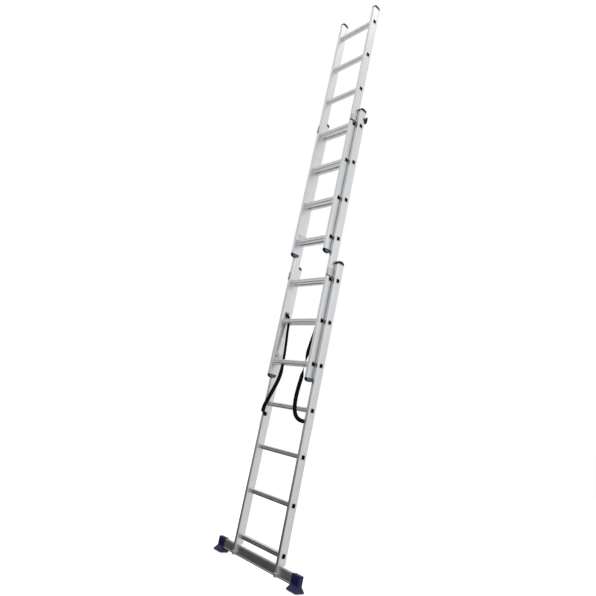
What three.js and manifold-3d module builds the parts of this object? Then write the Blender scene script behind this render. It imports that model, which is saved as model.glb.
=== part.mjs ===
// Three-section aluminium extension ladder with a stabiliser bar.
// Millimetres. +Z runs up along the stiles, +X to the climber's right, and the climber stands on the -Y side.
// Z = 0 is the floor under the stabiliser feet. The sections are nested: the base is the widest and lies
// furthest back, and each later section is narrower and lies one section offset further forward.

import * as THREE from 'three';
import { mergeVertices } from 'three/addons/utils/BufferGeometryUtils.js';
import Module from 'manifold-3d';

const wasm = await Module();
wasm.setup();

// ---- driving dimensions -------------------------------------------------------------------------------

const rungPitch = 280;
const rungsPerSection = 7;
const baseWidth = 440;
const middleLiftRungs = 4;
const topLiftRungs = 3;

const stileDepth = 60;
const stileThickness = 22;
const stileWall = 1.8;
const stileCorner = 3;
const stileBelowRung = 88;
const stileAboveRung = 112;

const rungSize = 28;
const rungWall = 1.6;
const rungCorner = 3;
const treadRibs = 5;
const treadRibHeight = 1;

const barHeight = 60;
const barDepth = 25;
const barWall = 1.8;
const barLength = 790;
const barDrop = 84;
const barInset = 15;

const footSleeveLength = 62;
const footWall = 3;
const footDrop = 28;
const footFlare = 12;
const footFlareFront = 20;
const footFlareBack = 16;
const footChamfer = 9;

const capRise = 22;
const capSkirt = 2;
const shoeRise = 20;
const plugLength = 18;

const guideHeight = 50;
const guideLip = 10;
const guideCentre = 43;
const guideFoot = 34;

const hookBand = 8;
const hookSwing = 46;
const pinRadius = 4;

const clawSheet = 2.2;
const clawReach = 20;
const clawHeight = 56;
const clawBand = 6;
const clawCentre = 66;

const boltRadius = 4;
const boltHeadRadius = 8;
const boltHeadHeight = 5;

const strapWidth = 25;
const strapThickness = 2;

// ---- clearances ---------------------------------------------------------------------------------------

const fitGap = 0.3;
const holeGap = 0.35;
const nestGap = 3;
const planeGap = 2;
const guideGap = 1.5;
const hookGap = 0.6;

// ---- sizes that follow --------------------------------------------------------------------------------

const sectionOffset = stileDepth / 2 + rungSize / 2 + planeGap;
const sectionInset = stileThickness + nestGap;
const hookSheet = nestGap - 2 * fitGap;
const guideSheet = hookSheet;
const firstRungHeight = barDrop + barHeight / 2 + footDrop;
const stileLength = (rungsPerSection - 1) * rungPitch + stileBelowRung + stileAboveRung;
const barTop = firstRungHeight - barDrop + barHeight / 2;
const barBottom = barTop - barHeight;
const barFront = -stileDepth / 2 + barInset;

const base = { name: 'base', half: baseWidth / 2, y: 0, firstRung: firstRungHeight };
const middle = {
  name: 'middle',
  half: base.half - sectionInset,
  y: -sectionOffset,
  firstRung: firstRungHeight + middleLiftRungs * rungPitch,
};
const top = {
  name: 'top',
  half: middle.half - sectionInset,
  y: -2 * sectionOffset,
  firstRung: middle.firstRung + topLiftRungs * rungPitch,
};
const sides = [{ name: 'left', sign: -1 }, { name: 'right', sign: 1 }];

// ---- materials ----------------------------------------------------------------------------------------

function paint(color, roughness, metalness) {
  return () => new THREE.MeshStandardMaterial({ color, roughness, metalness });
}

const aluminium = paint('#c9cbce', 0.38, 1);
const aluminiumRung = paint('#bfc1c4', 0.45, 1);
const aluminiumBar = paint('#a9a8a4', 0.5, 1);
const zincSteel = paint('#b4b6b8', 0.35, 1);
const bluePlastic = paint('#23235c', 0.5, 0);
const darkPlastic = paint('#262a3d', 0.5, 0);
const blackPlastic = paint('#141417', 0.55, 0);
const blackWebbing = paint('#111113', 0.9, 0);

// ---- solid helpers ------------------------------------------------------------------------------------

function solidOf(geometry) {
  const bare = geometry.clone();
  bare.deleteAttribute('normal');
  bare.deleteAttribute('uv');
  const merged = mergeVertices(bare, 1e-4);
  return new wasm.Manifold(new wasm.Mesh({
    numProp: 3,
    vertProperties: new Float32Array(merged.attributes.position.array),
    triVerts: new Uint32Array(merged.index.array),
  }));
}

function geometryOf(solid) {
  const mesh = solid.getMesh();
  const geometry = new THREE.BufferGeometry();
  geometry.setAttribute('position', new THREE.BufferAttribute(mesh.vertProperties, 3));
  geometry.setIndex(new THREE.BufferAttribute(mesh.triVerts, 1));
  geometry.computeVertexNormals();
  return geometry;
}

function box(x0, x1, y0, y1, z0, z1) {
  const geometry = new THREE.BoxGeometry(x1 - x0, y1 - y0, z1 - z0);
  return geometry.translate((x0 + x1) / 2, (y0 + y1) / 2, (z0 + z1) / 2);
}

// A box between an inner and an outer distance from the ladder's middle plane, on one side of it.
function sideBox(side, inner, outer, y0, y1, z0, z1) {
  const x0 = Math.min(side.sign * inner, side.sign * outer);
  const x1 = Math.max(side.sign * inner, side.sign * outer);
  return box(x0, x1, y0, y1, z0, z1);
}

function prism(shape, depth, curveSegments = 3) {
  return new THREE.ExtrudeGeometry(shape, { depth, bevelEnabled: false, curveSegments });
}

// An outline drawn with its first axis along Y and its second along Z, thickened along X.
function sidePrism(shape, x0, x1, curveSegments = 3) {
  const geometry = prism(shape, x1 - x0, curveSegments);
  const turn = new THREE.Matrix4().makeBasis(
    new THREE.Vector3(0, 1, 0), new THREE.Vector3(0, 0, 1), new THREE.Vector3(1, 0, 0));
  return geometry.applyMatrix4(turn).translate(x0, 0, 0);
}

function rod(radius, length, segments = 16) {
  return new THREE.CylinderGeometry(radius, radius, length, segments);
}

function roundedRectangle(shape, x0, x1, y0, y1, radius) {
  const r = Math.max(0.05, Math.min(radius, (x1 - x0) / 2 - 0.1, (y1 - y0) / 2 - 0.1));
  shape.moveTo(x0 + r, y0);
  shape.lineTo(x1 - r, y0);
  shape.absarc(x1 - r, y0 + r, r, -Math.PI / 2, 0, false);
  shape.lineTo(x1, y1 - r);
  shape.absarc(x1 - r, y1 - r, r, 0, Math.PI / 2, false);
  shape.lineTo(x0 + r, y1);
  shape.absarc(x0 + r, y1 - r, r, Math.PI / 2, Math.PI, false);
  shape.lineTo(x0, y0 + r);
  shape.absarc(x0 + r, y0 + r, r, Math.PI, Math.PI * 1.5, false);
  return shape;
}

function hollowSection(halfX, halfY, wall, corner) {
  const outline = roundedRectangle(new THREE.Shape(), -halfX, halfX, -halfY, halfY, corner);
  const inside = new THREE.Path();
  roundedRectangle(inside, -halfX + wall, halfX - wall, -halfY + wall, halfY - wall, corner - wall);
  outline.holes.push(inside);
  return outline;
}

const group = new THREE.Group();

function place(name, solid, material) {
  const geometry = solid.isBufferGeometry ? solid : geometryOf(solid);
  const mesh = new THREE.Mesh(geometry, material());
  mesh.name = name;
  group.add(mesh);
  return mesh;
}

// ---- places on a section ------------------------------------------------------------------------------

function rungHeight(section, index) {
  return section.firstRung + index * rungPitch;
}

function stileBottom(section) {
  return section.firstRung - stileBelowRung;
}

function stileTop(section) {
  return stileBottom(section) + stileLength;
}

function stileCentre(section, side) {
  return side.sign * (section.half - stileThickness / 2);
}

function stileFront(section) {
  return section.y - stileDepth / 2;
}

function stileBack(section) {
  return section.y + stileDepth / 2;
}

function stileInner(section) {
  return section.half - stileThickness;
}

// ---- stiles and rungs ---------------------------------------------------------------------------------

function rungHoles(section) {
  const hole = rungSize / 2 + holeGap;
  const cuts = [];
  for (let i = 0; i < rungsPerSection; i += 1) {
    const z = rungHeight(section, i);
    cuts.push(solidOf(box(-baseWidth, baseWidth, section.y - hole, section.y + hole + treadRibHeight,
      z - hole, z + hole + treadRibHeight)));
  }
  return cuts;
}

function stile(section, side, length, bottom) {
  const tube = prism(hollowSection(stileThickness / 2, stileDepth / 2, stileWall, stileCorner), length);
  tube.translate(stileCentre(section, side), section.y, bottom);
  let solid = solidOf(tube);
  for (const cut of rungHoles(section)) {
    solid = solid.subtract(cut);
  }
  return solid;
}

// The base stile runs down to the bar's underside, and everything behind its front lip is cut away there.
function baseStile(side) {
  const bottom = barBottom;
  let solid = stile(base, side, stileTop(base) - bottom, bottom);
  const notch = sideBox(side, stileInner(base) - 1, base.half + 1, barFront - fitGap, stileDepth,
    bottom - 1, barTop + fitGap);
  solid = solid.subtract(solidOf(notch));
  solid = solid.add(solidOf(sideBox(side, stileInner(base) + stileWall / 2, base.half - stileWall / 2,
    stileFront(base) + stileWall / 2, barFront - fitGap, bottom, barTop - plugLength)));
  return solid.subtract(boltHole(side));
}

// A rung is one ribbed square tube that runs right through both stiles and ends flush with them.
function rungSection() {
  const half = rungSize / 2;
  const shape = new THREE.Shape();
  const r = Math.min(rungCorner, half - 1);
  shape.moveTo(-half + r, -half);
  shape.lineTo(half - r, -half);
  shape.absarc(half - r, -half + r, r, -Math.PI / 2, 0, false);
  shape.lineTo(half, half - r);
  shape.absarc(half - r, half - r, r, 0, Math.PI / 2, false);
  const ribPitch = (rungSize - 2 * r) / treadRibs;
  for (let i = 0; i < treadRibs; i += 1) {
    const y = half - r - i * ribPitch;
    shape.lineTo(y - ribPitch * 0.25, half + treadRibHeight);
    shape.lineTo(y - ribPitch * 0.75, half + treadRibHeight);
    shape.lineTo(y - ribPitch, half);
  }
  shape.absarc(-half + r, half - r, r, Math.PI / 2, Math.PI, false);
  shape.lineTo(-half, -half + r);
  shape.absarc(-half + r, -half + r, r, Math.PI, Math.PI * 1.5, false);
  const inside = new THREE.Path();
  const inner = half - rungWall;
  roundedRectangle(inside, -inner, inner, -inner, inner, r - rungWall);
  shape.holes.push(inside);
  return shape;
}

function rung(section, index) {
  const tube = sidePrism(rungSection(), -section.half, section.half, 3);
  return tube.translate(0, section.y, rungHeight(section, index));
}

// ---- end caps -----------------------------------------------------------------------------------------

// A half-moon outline over the end of a stile; up is 1 for a top cap and -1 for a bottom shoe.
function halfMoon(section, rise, up) {
  const half = stileDepth / 2;
  const radius = (half * half + rise * rise) / (2 * rise);
  const reach = Math.atan2(half, radius - rise);
  const shape = new THREE.Shape();
  const segments = 12;
  shape.moveTo(section.y - half, 0);
  for (let i = 0; i <= segments; i += 1) {
    const angle = -reach + (2 * reach * i) / segments;
    shape.lineTo(section.y + radius * Math.sin(angle), up * (capSkirt + rise - radius + radius * Math.cos(angle)));
  }
  shape.lineTo(section.y + half, 0);
  return shape;
}

function plug(section, side, z0, z1) {
  const halfX = stileThickness / 2 - stileWall - fitGap;
  const halfY = stileDepth / 2 - stileWall - fitGap;
  const outline = roundedRectangle(new THREE.Shape(), -halfX, halfX, -halfY, halfY, stileCorner - stileWall);
  return prism(outline, z1 - z0, 3).translate(stileCentre(section, side), section.y, z0);
}

function endCap(section, side, rise, up, end) {
  const x = stileCentre(section, side);
  const seat = end + up * fitGap;
  const moon = sidePrism(halfMoon(section, rise, up), x - stileThickness / 2, x + stileThickness / 2);
  const solid = solidOf(moon.translate(0, 0, seat));
  const inEnd = end - up * plugLength;
  return solid.add(solidOf(plug(section, side, Math.min(inEnd, seat + up), Math.max(inEnd, seat + up))));
}

// ---- stabiliser ---------------------------------------------------------------------------------------

function barCentre() {
  return { y: barFront + barDepth / 2, z: barTop - barHeight / 2 };
}

function stabiliserBar() {
  const section = hollowSection(barDepth / 2, barHeight / 2, barWall, stileCorner);
  const centre = barCentre();
  const tube = sidePrism(section, -barLength / 2, barLength / 2, 3).translate(0, centre.y, centre.z);
  return solidOf(tube).subtract(boltHole(sides[0])).subtract(boltHole(sides[1]));
}

function boltPlace(side) {
  return { x: stileCentre(base, side), z: barBottom + barHeight * 0.28 };
}

function boltHole(side) {
  const at = boltPlace(side);
  const length = stileDepth + barDepth;
  return solidOf(rod(boltRadius + holeGap, length * 2).translate(at.x, 0, at.z));
}

// Head in front of the stile's lip, shank through lip and bar, nut behind the bar.
function stabiliserBolt(side) {
  const at = boltPlace(side);
  const front = stileFront(base) - fitGap;
  const back = barFront + barDepth + fitGap;
  const head = rod(boltHeadRadius, boltHeadHeight, 20).translate(at.x, front - boltHeadHeight / 2, at.z);
  const shank = rod(boltRadius, back - front + 2, 20).translate(at.x, (front + back) / 2, at.z);
  const nut = rod(boltHeadRadius, boltHeadHeight + 1, 6).translate(at.x, back + (boltHeadHeight + 1) / 2, at.z);
  return solidOf(head).add(solidOf(shank)).add(solidOf(nut));
}

// A closed sleeve over the bar's end that flares into a hoof with a chamfered sole.
function stabiliserFoot(side) {
  const centre = barCentre();
  const end = barLength / 2;
  const inner = end - footSleeveLength;
  const outer = end + footWall;
  const y0 = centre.y - barDepth / 2 - footWall;
  const y1 = centre.y + barDepth / 2 + footWall;
  const neck = barBottom - footWall;
  const widest = footChamfer;
  const acrossOutline = new THREE.Shape();
  acrossOutline.moveTo(inner, barTop + footWall);
  acrossOutline.lineTo(inner, neck + footChamfer);
  acrossOutline.lineTo(inner - footFlare / 2, widest);
  acrossOutline.quadraticCurveTo(inner, 1, inner + footChamfer * 2, 0);
  acrossOutline.lineTo(outer - footChamfer, 0);
  acrossOutline.quadraticCurveTo(outer + footFlare / 2, 1, outer + footFlare, widest);
  acrossOutline.lineTo(outer, neck + footChamfer);
  acrossOutline.lineTo(outer, barTop + footWall);
  const across = prism(acrossOutline, stileDepth * 2, 5);
  across.applyMatrix4(new THREE.Matrix4().makeBasis(new THREE.Vector3(side.sign, 0, 0),
    new THREE.Vector3(0, 0, 1), new THREE.Vector3(0, -side.sign, 0)));
  across.translate(0, centre.y + side.sign * stileDepth, 0);
  const depthOutline = new THREE.Shape();
  depthOutline.moveTo(y0, barTop + footWall);
  depthOutline.lineTo(y0, neck + footChamfer);
  depthOutline.lineTo(y0 - footFlareFront, widest);
  depthOutline.lineTo(y0 - footFlareFront + footChamfer, 0);
  depthOutline.lineTo(y1 + footFlareBack - footChamfer, 0);
  depthOutline.lineTo(y1 + footFlareBack, widest);
  depthOutline.lineTo(y1, neck + footChamfer);
  depthOutline.lineTo(y1, barTop + footWall);
  const depth = sidePrism(depthOutline, -baseWidth * 2, baseWidth * 2);
  const pocket = sideBox(side, inner - footFlare, end + fitGap, centre.y - barDepth / 2 - fitGap,
    centre.y + barDepth / 2 + fitGap, barBottom - fitGap, barTop + fitGap);
  return solidOf(across).intersect(solidOf(depth)).subtract(solidOf(pocket));
}

// ---- guides that hold the next section against this one -------------------------------------------------

// Sheet bracket in the gap between two nested stiles. A low tab lies on its own stile's inner face, a cheek
// runs forward past the nested stile, and a lip turns in across that stile's front. Cheek and tab leave room
// for a claw on the nested stile when the sections are closed.
function guide(section, next, side) {
  const lastRung = rungHeight(section, rungsPerSection - 1);
  const z0 = lastRung + guideCentre - guideHeight / 2;
  const z1 = z0 + guideHeight;
  const outer = stileInner(section) - fitGap;
  const inner = outer - guideSheet;
  const front = stileFront(next) - guideGap;
  const cheekBack = stileBack(next) - clawReach - fitGap;
  const tabBack = stileFront(section) + guideFoot;
  const tabTop = lastRung + clawCentre - clawHeight / 2 - fitGap;
  const cheek = sideBox(side, inner, outer, front - guideSheet, cheekBack, z0, z1);
  const tab = sideBox(side, inner, outer, front - guideSheet, tabBack, z0, tabTop);
  const lip = sideBox(side, next.half - guideLip, outer, front - guideSheet, front, z0, z1);
  return solidOf(cheek).add(solidOf(tab)).add(solidOf(lip));
}

// ---- rung hooks -----------------------------------------------------------------------------------------

// Each hook hangs on a pin in its stile's inner face and reaches back over a rung of the section behind.
function hookPivot(section) {
  return { y: section.y, z: section.firstRung + hookSwing };
}

function hookPin(section, side) {
  const at = hookPivot(section);
  const face = stileInner(section);
  const length = hookSheet + stileWall + 2 * fitGap + 4;
  const shank = rod(pinRadius, length).rotateZ(Math.PI / 2);
  shank.translate(side.sign * (face + stileWall + 2 - length / 2), at.y, at.z);
  const head = rod(pinRadius * 1.6, 2).rotateZ(Math.PI / 2);
  head.translate(side.sign * (face + stileWall + 2 - length - 0.5), at.y, at.z);
  return solidOf(shank).add(solidOf(head));
}

function pinHole(section, side) {
  const at = hookPivot(section);
  const hole = rod(pinRadius + holeGap, stileWall * 6).rotateZ(Math.PI / 2);
  return solidOf(hole.translate(side.sign * stileInner(section), at.y, at.z));
}

// The outline runs from the pin's eye back to an inverted U over the rung behind.
function rungHook(section, behind, side) {
  const at = hookPivot(section);
  const seat = rungSize / 2 + hookGap;
  const top = rungSize / 2 + treadRibHeight + hookGap;
  const y = behind.y;
  const z = section.firstRung;
  const outline = new THREE.Shape();
  const eye = pinRadius + hookBand;
  outline.moveTo(at.y - eye, at.z);
  outline.absarc(at.y, at.z, eye, Math.PI, Math.PI / 2, true);
  outline.lineTo(y, at.z + eye);
  outline.absarc(y + seat, at.z + eye - hookBand, hookBand, Math.PI / 2, 0, true);
  outline.lineTo(y + seat + hookBand, z - seat / 2);
  outline.lineTo(y + seat, z - seat / 2);
  outline.lineTo(y + seat, z + top);
  outline.lineTo(y - seat, z + top);
  outline.lineTo(at.y + eye, z + top);
  outline.absarc(at.y, at.z, eye, 0, -Math.PI, true);
  const face = stileInner(section) - fitGap;
  const inner = side.sign * (face - hookSheet);
  const outer = side.sign * face;
  const plate = sidePrism(outline, Math.min(inner, outer), Math.max(inner, outer), 6);
  const bore = rod(pinRadius + fitGap, hookSheet * 4).rotateZ(Math.PI / 2);
  return solidOf(plate).subtract(solidOf(bore.translate(inner, at.y, at.z)));
}

// ---- stepladder claws -----------------------------------------------------------------------------------

// A cheek on the outer face of the middle stile with an upturned hook behind the stile's back edge.
function claw(side) {
  const z = rungHeight(middle, rungsPerSection - 1) + clawCentre;
  const back = stileBack(middle);
  const low = z - clawHeight / 2;
  const tip = z + clawHeight / 2;
  const cheekOutline = new THREE.Shape();
  cheekOutline.moveTo(back - clawReach, z);
  cheekOutline.lineTo(back - clawBand, low + clawBand);
  cheekOutline.quadraticCurveTo(back, low, back + clawBand, low);
  cheekOutline.quadraticCurveTo(back + clawReach, low + clawBand, back + clawReach, z);
  cheekOutline.lineTo(back + clawReach - clawBand, tip);
  cheekOutline.lineTo(back + clawReach - 1.6 * clawBand, tip);
  cheekOutline.lineTo(back + clawReach - 1.6 * clawBand, z);
  cheekOutline.quadraticCurveTo(back + clawBand, low + 1.6 * clawBand, back, low + 2 * clawBand);
  cheekOutline.lineTo(back - clawReach + clawBand, z + clawBand);
  const outer = middle.half + fitGap + clawSheet;
  const full = sidePrism(cheekOutline, Math.min(side.sign * stileInner(middle), side.sign * outer),
    Math.max(side.sign * stileInner(middle), side.sign * outer), 8);
  const seat = sideBox(side, stileInner(middle) - 1, middle.half + fitGap, back - stileDepth,
    back + fitGap, low - 1, tip + 1);
  return solidOf(full).subtract(solidOf(seat));
}

// ---- straps ---------------------------------------------------------------------------------------------

// Each strap hangs slack from the middle stile's inner face to the base stile's inner face. The points run
// from the upper end to the lower end, and each holds the distance in from the middle stile's inner face,
// back from the middle of the space between the two sections' rungs, and up from the base's fifth rung.
const strapRoute = [
  [2.5, -14, 345], [12, -9, 322], [21, -2, 296], [28, 0, 258], [34, 0, 205], [44, 0, 150],
  [52, 0, 95], [58, 0, 40], [61, 0, -10], [63, -1, -55], [62, -5, -98], [58, -15, -142],
  [51, -27, -186], [42, -38, -228], [32, -46, -266], [20, -51, -300], [10, -48, -325], [1, -40, -340],
  [-9, -29, -348], [-18, -16, -351], [-22, 0, -351], [-22, 14, -350],
];
const strapSway = { left: 0.8, right: 1.3 };
const strapTwist = { topStart: 0.01, topEnd: 0.055, lowStart: 0.915, lowEnd: 0.965 };

function strapPoints(side) {
  const rungBack = middle.y + rungSize / 2;
  const rungFront = base.y - rungSize / 2;
  const between = (rungBack + rungFront) / 2;
  return strapRoute.map(([inward, back, up]) => {
    const sway = inward > 0 ? inward * strapSway[side.name] : inward;
    return new THREE.Vector3(side.sign * (stileInner(middle) - sway - strapThickness / 2), between + back,
      rungHeight(base, 4) + up);
  });
}

// The strap lies flat on a stile's inner face at each end, and a quarter turn in it faces it to the climber
// on the stretch between.
function strapWidthDirection(side, t) {
  const topTurn = THREE.MathUtils.smoothstep(t, strapTwist.topStart, strapTwist.topEnd);
  const lowTurn = THREE.MathUtils.smoothstep(t, strapTwist.lowStart, strapTwist.lowEnd);
  const across = new THREE.Vector3(side.sign, 0, 0);
  const direction = new THREE.Vector3(0, 1, 0).lerp(across, topTurn);
  return direction.lerp(new THREE.Vector3(0, 0, 1), lowTurn);
}

function strapSolid(side) {
  const curve = new THREE.CatmullRomCurve3(strapPoints(side), false, 'centripetal');
  const steps = 50;
  const positions = [];
  const index = [0, 2, 1, 0, 3, 2];
  for (let i = 0; i <= steps; i += 1) {
    const t = i / steps;
    const at = curve.getPointAt(t);
    const along = curve.getTangentAt(t);
    const width = strapWidthDirection(side, t);
    width.addScaledVector(along, -width.dot(along)).normalize();
    const face = new THREE.Vector3().crossVectors(along, width).normalize();
    for (const [w, f] of [[-1, -1], [1, -1], [1, 1], [-1, 1]]) {
      const corner = at.clone().addScaledVector(width, w * strapWidth / 2);
      corner.addScaledVector(face, f * strapThickness / 2);
      positions.push(corner.x, corner.y, corner.z);
    }
  }
  for (let i = 0; i < steps; i += 1) {
    for (let k = 0; k < 4; k += 1) {
      const a = i * 4 + k;
      const b = i * 4 + ((k + 1) % 4);
      index.push(a, b, a + 4, b, b + 4, a + 4);
    }
  }
  const last = steps * 4;
  index.push(last, last + 1, last + 2, last, last + 2, last + 3);
  const geometry = new THREE.BufferGeometry();
  geometry.setAttribute('position', new THREE.Float32BufferAttribute(positions, 3));
  geometry.setIndex(index);
  return geometry;
}

// ---- assembly -------------------------------------------------------------------------------------------

for (const side of sides) {
  place(`base_stile_${side.name}`, baseStile(side), aluminium);
  place(`base_cap_${side.name}`, endCap(base, side, capRise, 1, stileTop(base)), darkPlastic);
  place(`base_guide_${side.name}`, guide(base, middle, side), zincSteel);
  place(`stabiliser_bolt_${side.name}`, stabiliserBolt(side), zincSteel);
  place(`stabiliser_foot_${side.name}`, stabiliserFoot(side), bluePlastic);
}
place('stabiliser_bar', stabiliserBar(), aluminiumBar);

for (const side of sides) {
  const middleStile = stile(middle, side, stileLength, stileBottom(middle)).subtract(pinHole(middle, side));
  place(`middle_stile_${side.name}`, middleStile, aluminium);
  place(`middle_cap_${side.name}`, endCap(middle, side, capRise, 1, stileTop(middle)), darkPlastic);
  place(`middle_shoe_${side.name}`, endCap(middle, side, shoeRise, -1, stileBottom(middle)), darkPlastic);
  place(`middle_guide_${side.name}`, guide(middle, top, side), zincSteel);
  place(`middle_claw_${side.name}`, claw(side), blackPlastic);
  place(`middle_hook_pin_${side.name}`, hookPin(middle, side), zincSteel);
  place(`middle_hook_${side.name}`, rungHook(middle, base, side), zincSteel);
}

for (const side of sides) {
  const topStile = stile(top, side, stileLength, stileBottom(top)).subtract(pinHole(top, side));
  place(`top_stile_${side.name}`, topStile, aluminium);
  place(`top_cap_${side.name}`, endCap(top, side, capRise, 1, stileTop(top)), darkPlastic);
  place(`top_shoe_${side.name}`, endCap(top, side, shoeRise, -1, stileBottom(top)), darkPlastic);
  place(`top_hook_pin_${side.name}`, hookPin(top, side), zincSteel);
  place(`top_hook_${side.name}`, rungHook(top, middle, side), zincSteel);
}

for (const section of [base, middle, top]) {
  for (let i = 0; i < rungsPerSection; i += 1) {
    place(`${section.name}_rung_${i + 1}`, rung(section, i), aluminiumRung);
  }
}

for (const side of sides) {
  place(`spread_strap_${side.name}`, strapSolid(side), blackWebbing);
}

// The origin is on the floor, at the middle of the whole ladder's box.
const bounds = new THREE.Box3().setFromObject(group);
group.position.set(-(bounds.min.x + bounds.max.x) / 2, -(bounds.min.y + bounds.max.y) / 2, -bounds.min.z);

export default group;
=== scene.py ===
"""Looks of a three-section extension ladder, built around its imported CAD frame."""

import math

import bmesh
import bpy
from bpy.props import FloatProperty, FloatVectorProperty, IntProperty
from mathutils import Matrix, Quaternion, Vector


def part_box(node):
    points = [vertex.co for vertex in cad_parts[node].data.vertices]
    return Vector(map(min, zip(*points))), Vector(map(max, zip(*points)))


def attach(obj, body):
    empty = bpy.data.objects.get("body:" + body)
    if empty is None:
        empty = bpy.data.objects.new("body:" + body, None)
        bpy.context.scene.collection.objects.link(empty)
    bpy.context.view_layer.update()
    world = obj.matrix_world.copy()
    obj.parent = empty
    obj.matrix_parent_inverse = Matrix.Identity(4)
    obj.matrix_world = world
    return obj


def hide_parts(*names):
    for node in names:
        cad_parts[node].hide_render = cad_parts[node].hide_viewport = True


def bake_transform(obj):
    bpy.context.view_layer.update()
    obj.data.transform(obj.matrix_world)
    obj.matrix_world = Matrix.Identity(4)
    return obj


bl_info = {
    "name": "Extension ladder",
    "version": (1, 0, 0),
    "blender": (4, 5, 0),
    "location": "3D View > Sidebar > Ladder",
    "description": "Builds the visible pieces of a nested aluminium extension ladder",
    "category": "Object",
}

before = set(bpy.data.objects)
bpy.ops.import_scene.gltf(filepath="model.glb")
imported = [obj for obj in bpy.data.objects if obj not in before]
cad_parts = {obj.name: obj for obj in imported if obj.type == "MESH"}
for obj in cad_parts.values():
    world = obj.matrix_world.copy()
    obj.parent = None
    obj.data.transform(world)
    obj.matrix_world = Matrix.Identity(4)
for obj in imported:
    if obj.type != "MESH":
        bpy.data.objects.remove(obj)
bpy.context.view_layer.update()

# ---- places read from the frame -------------------------------------------------------------------

SIDES = {"left": -1.0, "right": 1.0}
SECTION_NAMES = ("base", "middle", "top")
RUNGS = 7
RUNG_HALF = 0.014


class Section:
    """Where one section of the ladder stands: its stiles, its rungs and its plane."""

    def __init__(self, name):
        low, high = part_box(f"{name}_stile_right")
        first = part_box(f"{name}_rung_1")[0].z + RUNG_HALF
        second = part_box(f"{name}_rung_2")[0].z + RUNG_HALF
        self.name = name
        self.outer = high.x
        self.inner = low.x
        self.y = (low.y + high.y) / 2
        self.front = low.y
        self.back = high.y
        self.bottom = low.z
        self.top = high.z
        self.rungs = [first + i * (second - first) for i in range(RUNGS)]

    def stile_x(self, side):
        return SIDES[side] * (self.outer + self.inner) / 2


SECTIONS = {name: Section(name) for name in SECTION_NAMES}
BASE, MIDDLE, TOP = (SECTIONS[name] for name in SECTION_NAMES)


# ---- sizes and colours that a user may change -------------------------------------------------------


def length_property(name, description, default):
    return FloatProperty(name=name, description=description, default=default, min=0.0, unit="LENGTH",
                         subtype="DISTANCE", precision=4)


def colour_property(name, description, default):
    return FloatVectorProperty(name=name, description=description, default=default, size=3, min=0.0,
                               max=1.0, subtype="COLOR")


class LadderSizes(bpy.types.PropertyGroup):
    tread_ribs: IntProperty(name="Tread ribs", description="Ribs along the top of each rung", default=7,
                            min=3, max=12)
    tread_rib_height: length_property("Tread rib height", "Height of the ribs on a rung's top", 0.0009)
    rung_wall: length_property("Rung wall", "Wall of a rung's square tube", 0.0016)
    rung_corner: length_property("Rung corner", "Corner radius of a rung's square tube", 0.0032)
    rung_bead: length_property("Rung bead", "Height of the swaged bead where a rung meets a stile", 0.0013)
    bar_groove: length_property("Bar groove", "Depth of the long grooves in the stabiliser bar", 0.0014)
    cap_rise: length_property("Cap rise", "Height of an end cap above its stile's end", 0.0238)
    edge_round: length_property("Moulded edge", "Rounding of the edges of moulded plastic", 0.0018)
    sheet_round: length_property("Sheet edge", "Rounding of the edges of bent sheet", 0.0006)
    strap_width: length_property("Strap width", "Width of the spread straps' webbing", 0.025)
    strap_thickness: length_property("Strap thickness", "Thickness of the webbing", 0.002)


class LadderColours(bpy.types.PropertyGroup):
    stile: colour_property("Stiles", "Mill-finish aluminium of the stiles", (0.86, 0.87, 0.88))
    rung: colour_property("Rungs", "Mill-finish aluminium of the rungs", (0.90, 0.905, 0.91))
    bar: colour_property("Stabiliser bar", "Duller aluminium of the stabiliser bar", (0.64, 0.622, 0.595))
    zinc: colour_property("Zinc plate", "Zinc-plated steel of guides and fasteners", (0.72, 0.73, 0.74))
    feet: colour_property("Feet", "Navy plastic of the stabiliser feet", (0.012, 0.011, 0.082))
    caps: colour_property("Caps and shoes", "Dark plastic of the caps and shoes", (0.011, 0.013, 0.036))
    panels: colour_property("Shoe panels", "Slate plastic of the shoes' sunk panels", (0.13, 0.15, 0.24))
    coated: colour_property("Coated steel", "Black coated steel of claws and glides", (0.006, 0.006, 0.008))
    webbing: colour_property("Webbing", "Black webbing of the spread straps", (0.0032, 0.0032, 0.0036))
    label: colour_property("Blank labels", "White film of the blank labels", (0.83, 0.84, 0.85))


# ---- node helpers -----------------------------------------------------------------------------------


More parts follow.
